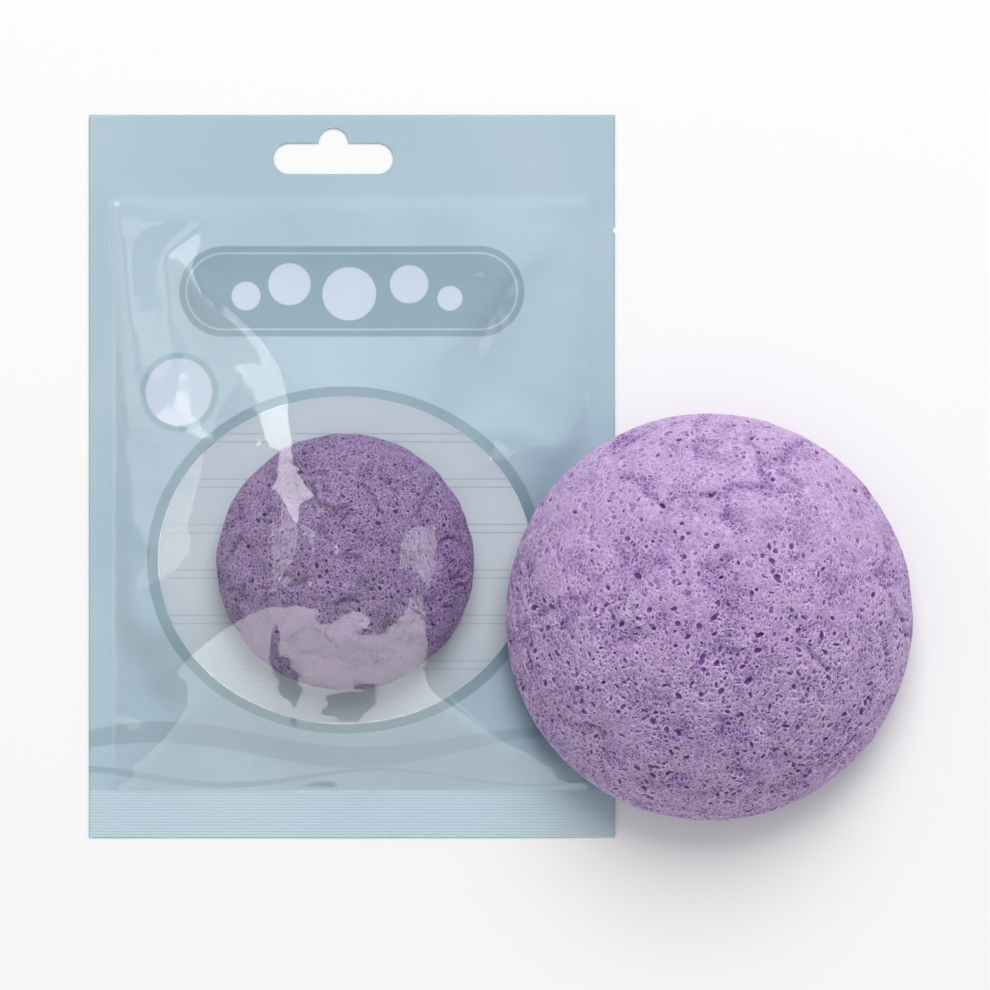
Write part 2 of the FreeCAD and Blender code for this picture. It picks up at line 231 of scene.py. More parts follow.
def buildFoamTree():
    numbers = ["Lump Height", "Lump Scale", "Crease Depth", "Crease Scale"]
    numbers += ["Sparse From", "Dense From", "Least Share"]
    for poreSize in poreSizes:
        numbers += [f"{poreSize} {name}" for name in ("Spacing", "Least", "Most", "Bury")]
    solidSocket = ("Geometry", "NodeSocketGeometry")
    inputs = [solidSocket, *((name, "NodeSocketFloat") for name in numbers)]
    inputs += [("Seed", "NodeSocketInt"), ("Foam", "NodeSocketMaterial")]
    tree, given, result = newGroup("foamBlock", "GeometryNodeTree", inputs, [solidSocket])

    def pushIn(geometry, amount):
        # moves the skin inwards only, and leaves the flat base alone
        normal = addNode(tree, "GeometryNodeInputNormal").outputs[0]
        axes = addNode(tree, "ShaderNodeSeparateXYZ", {0: normal})
        offBase = between(tree, axes.outputs["Z"], *foam["baseToSide"])
        depth = calc(tree, "MULTIPLY", amount, offBase)
        inwards = vectorCalc(tree, "SCALE", normal, calc(tree, "MULTIPLY", depth, -1.0))
        moved = addNode(tree, "GeometryNodeSetPosition", {"Geometry": geometry, "Offset": inwards})
        return moved.outputs[0]

    place = addNode(tree, "GeometryNodeInputPosition").outputs[0]
    skinNormal = addNode(tree, "GeometryNodeInputNormal").outputs[0]
    facing = addNode(tree, "ShaderNodeSeparateXYZ", {0: skinNormal}).outputs["Z"]
    lump = noiseAt(tree, place, given["Lump Scale"], 3.0).outputs[0]
    lumpDepth = calc(tree, "MULTIPLY", between(tree, lump, *foam["lumpRange"]), given["Lump Height"])
    lumpShare = between(tree, facing, *foam["lumpFacing"], foam["lumpLeast"], 1.0)
    lumpy = pushIn(given["Geometry"], calc(tree, "MULTIPLY", lumpDepth, lumpShare))

    # winding creases that come and go
    wander = noiseAt(tree, place, given["Crease Scale"], 2.0).outputs["Color"]
    bent = vectorCalc(tree, "ADD", place, vectorCalc(tree, "SCALE", wander, foam["creaseStray"]))
    cells = addNode(tree, "ShaderNodeTexVoronoi", {"Vector": bent, "Scale": given["Crease Scale"]},
                    feature="DISTANCE_TO_EDGE")
    fade = noiseAt(tree, place, given["Crease Scale"], 1.0).outputs[0]
    inCrease = between(tree, cells.outputs["Distance"], 0.0, foam["creaseHalf"], 1.0, 0.0)
    crease = calc(tree, "MULTIPLY", inCrease, between(tree, fade, *foam["creaseFade"]))
    crease = calc(tree, "MULTIPLY", crease, between(tree, facing, *foam["creaseFacing"]))
    block = pushIn(lumpy, calc(tree, "MULTIPLY", crease, given["Crease Depth"]))

    # pores in three sizes, each an uneven bubble cut out of the block
    side = addNode(tree, "ShaderNodeSeparateXYZ", {0: place}).outputs["Y"]
    sideShare = between(tree, side, given["Dense From"], given["Sparse From"], 1.0, given["Least Share"])
    allBubbles = addNode(tree, "GeometryNodeJoinGeometry")
    cut = block
    for order, (poreSize, detail) in enumerate(poreSizes.items()):
        least = given[f"{poreSize} Least"]
        thin = noiseAt(tree, place, foam["thinScale"] + foam["thinStep"] * order, 2.0).outputs[0]
        kept = between(tree, thin, *foam["thinRange"], foam["thinLeast"], 1.0)
        spread = addNode(tree, "GeometryNodeDistributePointsOnFaces", {
            "Mesh": cut, "Distance Min": given[f"{poreSize} Spacing"], "Density Max": foam["poresMost"],
            "Density Factor": calc(tree, "MULTIPLY", kept, sideShare),
            "Seed": calc(tree, "ADD", given["Seed"], float(order)),
        }, distribute_method="POISSON")
        draw = addNode(tree, "FunctionNodeRandomValue", {"Seed": order + 1})
        shrink = calc(tree, "POWER", draw.outputs["Value"], foam["smallMore"])
        radius = between(tree, shrink, 0.0, 1.0, least, given[f"{poreSize} Most"], smooth=False)
        sink = calc(tree, "MULTIPLY", calc(tree, "MULTIPLY", radius, given[f"{poreSize} Bury"]), -1.0)
        sunk = addNode(tree, "GeometryNodeSetPosition", {
            "Geometry": spread.outputs["Points"],
            "Offset": vectorCalc(tree, "SCALE", spread.outputs["Normal"], sink),
        })
        stretch = addNode(tree, "FunctionNodeRandomValue", {"Seed": order + 11}, data_type="FLOAT_VECTOR")
        stretch.inputs["Min"].default_value, stretch.inputs["Max"].default_value = foam["bubbleStretch"]
        spin = addNode(tree, "FunctionNodeRandomValue", {"Seed": order + 21}, data_type="FLOAT_VECTOR")
        spin.inputs["Min"].default_value = (0, 0, 0)
        spin.inputs["Max"].default_value = (0, 0, 2 * pi)
        turned = addNode(tree, "FunctionNodeRotateRotation", {
            "Rotation": spread.outputs["Rotation"], "Rotate By": spin.outputs["Value"],
        }, rotation_space="LOCAL")
        bubble = addNode(tree, "GeometryNodeMeshIcoSphere", {"Radius": 1.0, "Subdivisions": detail})
        bubbles = addNode(tree, "GeometryNodeInstanceOnPoints", {
            "Points": sunk.outputs[0], "Instance": bubble.outputs["Mesh"], "Rotation": turned.outputs[0],
            "Scale": vectorCalc(tree, "SCALE", stretch.outputs["Value"], radius),
        })
        whole = addNode(tree, "GeometryNodeRealizeInstances", {"Geometry": bubbles.outputs[0]})
        dent = noiseAt(tree, place, calc(tree, "DIVIDE", 0.5, least), 2.0).outputs["Color"]
        off = vectorCalc(tree, "SUBTRACT", dent, (0.5, 0.5, 0.5))
        uneven = addNode(tree, "GeometryNodeSetPosition", {
            "Geometry": whole.outputs[0], "Offset": vectorCalc(tree, "SCALE", off, least),
        })
        opened = addNode(tree, "GeometryNodeMeshBoolean", {"Mesh 1": cut, "Mesh 2": uneven.outputs[0]},
                         operation="DIFFERENCE", solver="MANIFOLD")
        tree.links.new(uneven.outputs[0], allBubbles.inputs[0])
        cut = opened.outputs["Mesh"]

    # for the colour: how deep each point lies under the skin, how near a pore, how far in a crease
    marked = cut
    marks = {"crease": crease}
    for name, target in (("poreDepth", block), ("poreNear", allBubbles.outputs[0])):
        nearest = addNode(tree, "GeometryNodeProximity", {0: target}, target_element="FACES")
        marks[name] = nearest.outputs["Distance"]
    for name, value in marks.items():
        stored = addNode(tree, "GeometryNodeStoreNamedAttribute", {"Geometry": marked, "Name": name},
                         data_type="FLOAT", domain="POINT")
        feed(tree, stored.inputs["Value"], value)
        marked = stored.outputs[0]
    rounded = addNode(tree, "GeometryNodeSetShadeSmooth", {"Geometry": marked, "Shade Smooth": True})
    solid = addNode(tree, "GeometryNodeRealizeInstances", {"Geometry": rounded.outputs[0]})
    finished = addNode(tree, "GeometryNodeSetMaterial",
                       {"Geometry": solid.outputs[0], "Material": given["Foam"]})
    feed(tree, result[0], finished.outputs[0])
    return tree


grainShape = {
    "stray": 1.2,                  # how far the web winds, in its own cells
    "thread": (0.02, 0.2),         # from the full colour of a thread to its edge, in cells
    "spotPick": (0.1, 1.0),        # a cell's own number, which sets how large its spot is
    "spotReach": (0.05, 0.6),
    "spotFull": 0.6,               # a spot has its full colour within this share of its reach
    "ring": (0.75, 1.3),           # the pale ring round it, as shares of its reach
    "cloud": (0.45, 0.65),
    "grain": (0.3, 0.7),
}


def buildFoamGrain():
    # a fine web of threads, soft spots where a pore lies under the skin, clouds of deeper colour
    scales = [(name, "NodeSocketFloat") for name in ("Web Scale", "Spot Scale", "Cloud Scale")]
    masks = [(name, "NodeSocketFloat") for name in ("Web", "Spot", "Ring", "Cloud", "Grain")]
    inputs = [("Vector", "NodeSocketVector"), *scales]
    group, given, result = newGroup("foamGrain", "ShaderNodeTree", inputs, masks)
    shape = grainShape
    place, webScale, spotScale, cloudScale = (given[k] for k in range(4))
    wander = noiseAt(group, place, webScale, 2.0).outputs["Color"]
    off = vectorCalc(group, "SUBTRACT", wander, (0.5, 0.5, 0.5))
    stray = vectorCalc(group, "SCALE", off, calc(group, "DIVIDE", shape["stray"], webScale))
    bent = vectorCalc(group, "ADD", place, stray)
    web = addNode(group, "ShaderNodeTexVoronoi", {"Vector": bent, "Scale": webScale},
                  feature="DISTANCE_TO_EDGE")
    feed(group, result["Web"], between(group, web.outputs["Distance"], *shape["thread"], 1.0, 0.0))
    spot = addNode(group, "ShaderNodeTexVoronoi", {"Vector": bent, "Scale": spotScale})
    pick = addNode(group, "ShaderNodeSeparateColor", {0: spot.outputs["Color"]}).outputs[0]
    reach = between(group, pick, *shape["spotPick"], *shape["spotReach"], smooth=False)
    far = spot.outputs["Distance"]
    full = calc(group, "MULTIPLY", reach, shape["spotFull"])
    feed(group, result["Spot"], between(group, far, reach, full))
    ringFrom, ringTo = (calc(group, "MULTIPLY", reach, share) for share in shape["ring"])
    rise = between(group, far, ringFrom, reach)
    fall = between(group, far, reach, ringTo, 1.0, 0.0)
    feed(group, result["Ring"], calc(group, "MULTIPLY", rise, fall))
    cloud = noiseAt(group, place, cloudScale, 5.0, 0.6).outputs[0]
    feed(group, result["Cloud"], between(group, cloud, *shape["cloud"]))
    grain = noiseAt(group, bent, webScale, 3.0, 0.7).outputs[0]
    feed(group, result["Grain"], between(group, grain, *shape["grain"]))
    return group


foamSkin = {
    "poreFrom": 0.02 * mm,         # depth under the skin at which a pore's colour starts: its own deeper violet with painted shade
    "rimDeep": 0.12 * mm,          # how deep the painted highlight on the rim of a pore reaches
    "bumpStrength": 0.8, "bumpHeight": 0.12 * mm,
    "roughness": (0.75, 0.95),
    "glowRadius": (1.0, 0.7, 1.0), "glowDepth": 1.2 * mm,   # light that spreads under the skin
    "shine": 0.2, "sheenRoughness": 0.5,
}


def foamMaterial(name, node, look, grainGroup):
    material, tree, shader = newMaterial(name)
    coords = addNode(tree, "ShaderNodeTexCoord").outputs["Object"]
    grain = addNode(tree, "ShaderNodeGroup", node_tree=grainGroup)
    feed(tree, grain.inputs["Vector"], coords)
    for title, value in look["grain"].items():
        grain.inputs[title].default_value = value
    depth = addNode(tree, "ShaderNodeAttribute", attribute_name="poreDepth").outputs["Fac"]
    near = addNode(tree, "ShaderNodeAttribute", attribute_name="poreNear").outputs["Fac"]
    # pores take their colour with depth: the deeper violet of the pore walls, with painted shade in the pits
    inPore = between(tree, depth, foamSkin["poreFrom"], look["poreDark"])
    # a painted highlight round the rim of each pore, in the pale thread colour
    rimHighlight = calc(tree, "MULTIPLY", between(tree, near, 0.0, look["rimWide"], 1.0, 0.0),
               between(tree, depth, 0.0, foamSkin["rimDeep"], 1.0, 0.0))
    low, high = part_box(node)
    side = addNode(tree, "ShaderNodeSeparateXYZ", {0: coords}).outputs["Y"]
    # clouds grow denser towards the low side: partly the sponge's own blotches, partly painted shade on the
    # side turned from the key light
    lowerSide = between(tree, side, high.y, low.y, look["cloudTop"], look["cloudLow"])
    skin = blendColour(tree, grain.outputs["Grain"], look["skinDull"], look["skin"])
    # painted shade: the skin turns deeper violet towards the low side
    skin = blendColour(tree, between(tree, side, high.y, low.y, 0.0, look["lowShadeShare"]), skin, look["cloud"])
    crease = addNode(tree, "ShaderNodeAttribute", attribute_name="crease").outputs["Fac"]
    for mask, share, colour in (
        # painted shade: the creases are painted in the deep cloud colour
        (crease, look["creaseShadeShare"], look["cloud"]),
        (grain.outputs["Cloud"], lowerSide, look["cloud"]),
        (grain.outputs["Spot"], look["spotShare"], look["spot"]),
        (grain.outputs["Ring"], look["ringShare"], look["thread"]),
        (grain.outputs["Web"], look["webShare"], look["thread"]),
        (rimHighlight, look["rimHighlightShare"], look["thread"]),
    ):
        skin = blendColour(tree, calc(tree, "MULTIPLY", mask, share), skin, colour)
    feed(tree, shader.inputs["Base Color"], blendColour(tree, inPore, skin, look["pore"]))
    height = calc(tree, "SUBTRACT", grain.outputs["Web"], grain.outputs["Spot"])
    bump = addNode(tree, "ShaderNodeBump", {
        "Strength": foamSkin["bumpStrength"], "Distance": foamSkin["bumpHeight"], "Height": height,
    })
    feed(tree, shader.inputs["Normal"], bump.outputs[0])
    feed(tree, shader.inputs["Roughness"],
         between(tree, grain.outputs["Grain"], 0.0, 1.0, *foamSkin["roughness"]))
    shader.inputs["Subsurface Weight"].default_value = look["soft"]
    shader.inputs["Subsurface Radius"].default_value = foamSkin["glowRadius"]
    shader.inputs["Subsurface Scale"].default_value = foamSkin["glowDepth"]
    shader.inputs["Specular IOR Level"].default_value = foamSkin["shine"]
    shader.inputs["Sheen Weight"].default_value = look["sheen"]
    shader.inputs["Sheen Roughness"].default_value = foamSkin["sheenRoughness"]
    return material


def makeSponge(name, node, body, look, tree, material):
    piece = showMesh(name, layOnSolid(halfBall(node, look["edge"], look["divisions"]), node))
    modifier = piece.modifiers.new("Foam", "NODES")
    modifier.node_group = tree
    values = {item.name: item.identifier for item in tree.interface.items_tree if item.in_out == "INPUT"}
    low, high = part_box(node)
    middle = (low.y + high.y) / 2
    sides = {"Sparse From": middle + look["sparseFrom"], "Dense From": middle + look["denseFrom"]}
    for title, value in {**look["block"], **sides}.items():
        modifier[values[title]] = value
    modifier[values["Foam"]] = material
    plainMesh(piece, name)
    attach(piece, body)
    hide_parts(node)
    print(name, "has", len(piece.data.polygons), "faces")


looseLook = {
    "edge": foam["looseEdge"], "divisions": 7, "fill": 0.8,
    "skin": tone(192, 164, 206), "skinDull": tone(164, 130, 185), "thread": tone(214, 191, 225),
    # clouds grow from cloudTop to cloudLow, partly painted shade on the low side; the low-side share of cloud
    # colour is painted shade
    "cloud": tone(98, 50, 138), "cloudTop": 0.28, "cloudLow": 0.95, "lowShadeShare": 0.44, "creaseShadeShare": 0.85,
    "spot": tone(122, 79, 154), "spotShare": 0.75, "ringShare": 0.5, "webShare": 0.45,
    "rimHighlightShare": 0.65, "rimWide": 0.2 * mm,
    "pore": tone(120, 76, 152), "poreDark": 0.5 * mm, "soft": 0.6, "sheen": 0.05,
    "grain": {"Web Scale": 1000.0, "Spot Scale": 470.0, "Cloud Scale": 140.0},
    "sparseFrom": 26 * mm, "denseFrom": -10 * mm,
    "block": {
        "Lump Height": 0.55 * mm, "Lump Scale": 130.0, "Crease Depth": 0.9 * mm, "Crease Scale": 80.0,
        "Least Share": 0.22,
        "Large Spacing": 3.0 * mm, "Large Least": 0.35 * mm, "Large Most": 0.85 * mm, "Large Bury": 0.0,
        "Middle Spacing": 1.45 * mm, "Middle Least": 0.35 * mm, "Middle Most": 0.85 * mm,
        "Middle Bury": -0.35,
        "Small Spacing": 0.85 * mm, "Small Least": 0.15 * mm, "Small Most": 0.45 * mm, "Small Bury": 0.0,
        "Seed": 4,
    },
}
packedLook = {
    "edge": foam["packedEdge"], "divisions": 7, "fill": 0.5,
    "skin": tone(127, 94, 149), "skinDull": tone(92, 57, 117), "thread": tone(190, 162, 208),
    "cloud": tone(76, 36, 106), "cloudTop": 0.85, "cloudLow": 0.85, "lowShadeShare": 0.0, "creaseShadeShare": 0.9,
    "spot": tone(60, 28, 84), "spotShare": 0.85, "ringShare": 0.45, "webShare": 0.55,
    "rimHighlightShare": 0.5, "rimWide": 0.15 * mm,
    "pore": tone(52, 22, 75), "poreDark": 0.4 * mm, "soft": 0.3, "sheen": 0.05,
    "grain": {"Web Scale": 1300.0, "Spot Scale": 700.0, "Cloud Scale": 190.0},
    "sparseFrom": 60 * mm, "denseFrom": 50 * mm,
    "block": {
        "Lump Height": 1.0 * mm, "Lump Scale": 150.0, "Crease Depth": 1.5 * mm, "Crease Scale": 130.0,
        "Least Share": 1.0,
        "Large Spacing": 1.8 * mm, "Large Least": 0.36 * mm, "Large Most": 0.62 * mm, "Large Bury": 0.0,
        "Middle Spacing": 1.2 * mm, "Middle Least": 0.24 * mm, "Middle Most": 0.42 * mm, "Middle Bury": -0.1,
        "Small Spacing": 0.75 * mm, "Small Least": 0.14 * mm, "Small Most": 0.26 * mm, "Small Bury": 0.0,
        "Seed": 21,
    },
}
foamTree = buildFoamTree()
foamGrain = buildFoamGrain()
makeSponge("looseSponge", "loose_sponge", "loose", looseLook, foamTree,
           foamMaterial("swollenFoam", "loose_sponge", looseLook, foamGrain))
makeSponge("packedSponge", "packed_sponge", "packed", packedLook, foamTree,
           foamMaterial("dryFoam", "packed_sponge", packedLook, foamGrain))


# Films

film = {
    "solid": 0.2 * mm,         # thickness of the film's own solid
    "thick": 0.12 * mm,        # shown a little thinner, so that the sealed films don't touch
    "simCell": 1.25 * mm,      # spacing of the points that settle
    "cell": 0.8 * mm,          # spacing of the finished mesh
    "sideSeal": 6 * mm, "topSeal": 17.5 * mm, "bottomSeal": 10 * mm,
    "crimpPitch": 0.63 * mm, "crimpDepth": 0.03 * mm, "crimpRows": 4,
    "crimpFade": 0.5 * mm,     # crimping starts and ends over this length
    "foldFade": 5 * mm,        # folds grow to full height over this distance from a seal
    "punchReach": 2 * mm,      # the punch reaches this far above and below the floor
    "slot": (25 * mm, 6.5 * mm, 3.1 * mm),   # length, height, bump radius
    "slotPlace": (-3.9 * mm, 9.1 * mm),      # from the middle, from the top edge
    "notch": (0.8 * mm, 1.6 * mm, 24 * mm),  # depth, height, from the top edge
}
filmLow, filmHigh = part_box("rear_film")
sheetSize = (filmHigh.x - filmLow.x, filmHigh.y - filmLow.y)

slack = {
    "grow": 20.0,              # the film settles at a larger scale, where the solver is steady
    "frames": 40, "quality": 8, "spare": 0.003, "bending": 60.0,
    "pull": 60.0, "shear": 30.0, "damping": 8.0, "bendDamping": 2.0, "gravity": 0.15, "mass": 0.2, "air": 2.0,
    # uneven start: height of the ripple, its scale, its deepest dip, how far from a seal it is full
    "ripple": 0.4 * mm, "rippleScale": 50.0, "rippleDip": 0.2 * mm, "rippleFade": 4 * mm, "seed": 8,
    "margin": 0.3 * mm,        # kept free over the sponge
    "travelBlend": 2 * mm,     # half the width over which the sponge's travel changes sides
    "pressed": 5 * mm,         # how far in from its edge the loose sponge holds the film down
    # at the larger scale: the surface under the film
    "skin": 0.01, "gap": 0.008, "gapQuality": 3, "friction": 2, "tableHalf": 9, "underDivisions": 5,
}

# folds across and up the sheet in millimetres, with their rise and the reach of both flanks
pleats = [
    {"path": [(8, 92), (34, 77), (43, 69)], "rise": 0.7, "flanks": (7, 7)},
    {"path": [(43, 71), (44.5, 63), (43, 55)], "rise": 0.6, "flanks": (5, 5)},
    {"path": [(44, 57), (33, 46), (12, 31)], "rise": 0.9, "flanks": (8, 6)},
    {"path": [(71, 82), (74.5, 69), (80, 57)], "rise": 0.6, "flanks": (3, 3)},
    {"path": [(62, 53), (80, 39), (98, 26)], "rise": 0.8, "flanks": (6, 9)},
    {"path": [(6, 50), (15, 52), (24, 51.5)], "rise": 0.4, "flanks": (2, 3)},
    {"path": [(104, 126), (86, 117), (66, 106)], "rise": 0.5, "flanks": (6, 10)},
]
crest = {"taper": 6, "sharp": 1.5}   # how soon a fold is full from its ends, and how steep at its crest


def filmGrid(node):
    # even points on the middle of the film's solid, and how far each lies inside the seals
    low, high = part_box(node)
    columns = round(sheetSize[0] / film["simCell"]) + 1
    rows = round(sheetSize[1] / film["simCell"]) + 1
    x, y = np.meshgrid(np.linspace(low.x, high.x, columns), np.linspace(low.y, high.y, rows))
    looseLow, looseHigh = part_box("loose_sponge")
    fromSponge = np.hypot(x - (looseLow.x + looseHigh.x) / 2, y - (looseLow.y + looseHigh.y) / 2)
    room = np.minimum.reduce([
        x - low.x - film["sideSeal"], high.x - film["sideSeal"] - x,
        y - low.y - film["bottomSeal"], high.y - film["topSeal"] - y,
        fromSponge - (looseHigh.x - looseLow.x) / 2 + slack["pressed"],
    ])
    z = np.full(x.shape, low.z + film["solid"] / 2)
    if node == "front_film":
        surface = nodeSurface(node)
        for j, i in np.argwhere(room > 0):
            hit = surface.ray_cast(Vector((x[j, i], y[j, i], 1)), Vector((0, 0, -1)))[0]
            z[j, i] = hit.z - film["solid"] / 2
    return np.stack([x, y, z], axis=-1), room


def gridMesh(name, points):
    rows, columns = points.shape[:2]
    faces = [(j * columns + i, j * columns + i + 1, (j + 1) * columns + i + 1, (j + 1) * columns + i)
             for j in range(rows - 1) for i in range(columns - 1)]
    mesh = bpy.data.meshes.new(name)
    mesh.from_pydata(points.reshape(-1, 3), [], faces)
    return mesh


def settleFilm(points, room):
    # the slack film falls into folds over the sponge, clear of its whole travel, with its seals held
    grow = slack["grow"]
    started = points.copy()
    for j, i in np.argwhere(room > 0):
        x, y = points[j, i, :2]
        wave = noise.noise(Vector((x, y, 0)) * slack["rippleScale"] + Vector((0, 0, slack["seed"])))
        growth = min(room[j, i] / slack["rippleFade"], 1)
        started[j, i, 2] += max(wave * slack["ripple"], -slack["rippleDip"]) * growth
    sheet = showMesh("settlingFilm", gridMesh("settlingFilm", started * grow))
    seal = sheet.vertex_groups.new(name="seal")
    seal.add([int(k) for k in np.flatnonzero(room.ravel() <= 0)], 1.0, "REPLACE")

    joint = next(j for j in frame["record"]["behaviour"]["joints"] if j["name"] == "packed_shift")
    low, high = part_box("packed_sponge")
    middle = (low + high) / 2
    swell = 1 + slack["margin"] / ((high.x - low.x) / 2)
    under = halfBall("packed_sponge", foam["packedEdge"], slack["underDivisions"])
    for vertex in under.vertices:
        out = vertex.co - middle
        reach = joint["range_m"][1] * np.clip(out.y / slack["travelBlend"], -1, 1)
        vertex.co = (middle + out * swell + Vector((0, reach, 0))) * grow
    table = squareMesh("table", slack["tableHalf"], film["solid"] * grow)
    blocks = [showMesh("under", under), showMesh("table", table)]
    for block in blocks:
        block.modifiers.new("Collision", "COLLISION")
        block.collision.thickness_outer = slack["skin"]
        block.collision.cloth_friction = slack["friction"]

    cloth = sheet.modifiers.new("Cloth", "CLOTH")
    values = cloth.settings
    values.quality = slack["quality"]
    values.mass, values.air_damping = slack["mass"], slack["air"]
    values.tension_stiffness = values.compression_stiffness = slack["pull"]
    values.shear_stiffness, values.bending_stiffness = slack["shear"], slack["bending"]
    values.tension_damping = values.compression_damping = slack["damping"]
    values.bending_damping = slack["bendDamping"]
    values.vertex_group_mass = "seal"
    values.shrink_min = -slack["spare"]
    values.effector_weights.gravity = slack["gravity"]
    cloth.collision_settings.distance_min = slack["gap"]
    cloth.collision_settings.collision_quality = slack["gapQuality"]
    cloth.collision_settings.use_self_collision = False
    cloth.point_cache.frame_start = 1
    cloth.point_cache.frame_end = slack["frames"]
    for step in range(1, slack["frames"] + 1):
        scene.frame_set(step)
    done = sheet.evaluated_get(bpy.context.evaluated_depsgraph_get()).data
    settled = np.empty(points.size, np.float32)
    done.vertices.foreach_get("co", settled)
    for piece in (sheet, *blocks):
        bpy.data.objects.remove(piece)
    scene.frame_set(1)
    settled = settled.reshape(points.shape).astype(float) / grow
    print("the front film settled, up to", round(float(settled[..., 2].max() / mm), 1), "mm high")
    return settled


def resample(grid, places):
    # rows of the grid at any places, as a cubic B-spline
    padded = np.concatenate([2 * grid[:1] - grid[1:2], grid, 2 * grid[-1:] - grid[-2:-1]])
    base = np.clip(np.floor(places).astype(int), 0, len(grid) - 2)
    t = (places - base)[:, None, None]
    weights = ((1 - t) ** 3, 3 * t ** 3 - 6 * t ** 2 + 4, 1 + 3 * t + 3 * t ** 2 - 3 * t ** 3, t ** 3)
    return sum(weight * padded[base + k] for k, weight in enumerate(weights)) / 6


def pleatLift(across, up, pleat):
    # a sharp crest that fades to both sides and towards its ends
    path = np.array(pleat["path"], float)
    gap = np.full(across.shape, np.inf)
    along = np.zeros(across.shape)
    left = np.zeros(across.shape, bool)
    for k, (start, end) in enumerate(zip(path[:-1], path[1:])):
        run = end - start
        dx, dy = across - start[0], up - start[1]
        t = np.clip((dx * run[0] + dy * run[1]) / (run @ run), 0, 1)
        away = np.hypot(dx - t * run[0], dy - t * run[1])
        nearer = away < gap
        gap = np.where(nearer, away, gap)
        along = np.where(nearer, (k + t) / (len(path) - 1), along)
        left = np.where(nearer, run[0] * dy - run[1] * dx > 0, left)
    flank = np.where(left, *pleat["flanks"])
    taper = np.clip(crest["taper"] * along * (1 - along), 0, 1)
    return pleat["rise"] * taper * np.exp(-gap / flank * crest["sharp"])


def filmMesh(name, points, room, folds):
    # the settled points as a fine sheet, with crimped rows in the bottom seal and the folds on top
    step = film["crimpPitch"] / film["crimpRows"]
    crimped = np.arange(0, film["bottomSeal"], step)
    plainRows = round((sheetSize[1] - film["bottomSeal"]) / film["cell"]) + 1
    plain = np.linspace(film["bottomSeal"], sheetSize[1], plainRows)
    up = np.concatenate([crimped, plain])
    across = np.linspace(0, sheetSize[0], round(sheetSize[0] / film["cell"]) + 1)
    rows, columns = points.shape[:2]
    rowPlaces = up / sheetSize[1] * (rows - 1)
    columnPlaces = across / sheetSize[0] * (columns - 1)
    stack = np.concatenate([points, room[..., None]], axis=-1)
    fine = resample(resample(stack, rowPlaces).transpose(1, 0, 2), columnPlaces).transpose(1, 0, 2)
    acrossAll, upAll = np.meshgrid(across, up)
    fade = film["crimpFade"]
    inSeal = np.clip((film["bottomSeal"] - fade - upAll) / fade, 0, 1) * np.clip(upAll / fade, 0, 1)
    fine[..., 2] += film["crimpDepth"] * np.sin(2 * pi * upAll / film["crimpPitch"]) * inSeal
    free = np.clip(fine[..., 3] / film["foldFade"], 0, 1)
    for pleat in folds:
        fine[..., 2] += pleatLift(acrossAll / mm, upAll / mm, pleat) * mm * free
    mesh = gridMesh(name, fine[..., :3])
    layer = mesh.uv_layers.new(name="sheet")
    share = ((fine[..., :2] - np.array(filmLow[:2])) / np.array(sheetSize)).reshape(-1, 2)
    corners = np.empty(len(mesh.loops), int)
    mesh.loops.foreach_get("vertex_index", corners)
    layer.data.foreach_set("uv", share[corners].ravel())
    return mesh


def punchMesh():
    # the hang slot and the tear notch, as tall prisms
    length, tall, bump = film["slot"]
    middleX = (filmLow.x + filmHigh.x) / 2 + film["slotPlace"][0]
    middleY = filmHigh.y - film["slotPlace"][1]
    end = tall / 2
    reach = length / 2 - end
    steps = 24
    outline = []
    outline += [(reach + end * sin(pi * k / steps), -end * cos(pi * k / steps)) for k in range(steps + 1)]
    outline += [(bump * cos(pi * k / steps), end + bump * sin(pi * k / steps)) for k in range(steps + 1)]
    outline += [(-reach - end * sin(pi * k / steps), end * cos(pi * k / steps)) for k in range(steps + 1)]
    depth, height, fromTop = film["notch"]
    beyond = 1 * mm
    spread = height / 2 * (depth + beyond) / depth
    notch = [(-depth, 0), (beyond, -spread), (beyond, spread)]
    cutter = bmesh.new()
    for shape, (x, y) in ((outline, (middleX, middleY)), (notch, (filmHigh.x, filmHigh.y - fromTop))):
        ring = [cutter.verts.new((x + px, y + py, -film["punchReach"])) for px, py in shape]
        face = cutter.faces.new(ring)
        lifted = bmesh.ops.extrude_face_region(cutter, geom=[face])["geom"]
        top = [v for v in lifted if isinstance(v, bmesh.types.BMVert)]
        bmesh.ops.translate(cutter, vec=(0, 0, 2 * film["punchReach"]), verts=top)
    bmesh.ops.recalc_face_normals(cutter, faces=cutter.faces)
    mesh = bpy.data.meshes.new("punch")
    cutter.to_mesh(mesh)
    cutter.free()
    return mesh


def finishFilm(name, mesh, node, material):
    piece = showMesh(name, mesh, material)
    wall = piece.modifiers.new("Wall", "SOLIDIFY")
    wall.thickness = film["thick"]
    wall.offset = 0
    cutter = showMesh("punch", punchMesh())
    punch = piece.modifiers.new("Punch", "BOOLEAN")
    punch.operation = "DIFFERENCE"
    punch.solver = "EXACT"
    punch.object = cutter
    plainMesh(piece, name)
    bpy.data.objects.remove(cutter)
    for face in piece.data.polygons:
        face.use_smooth = True
    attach(piece, "pouch")
    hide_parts(node)
    print(name, "has", len(piece.data.polygons), "faces")
    return piece


# Film finishes, with the print placed in millimetres across and up the flat sheet

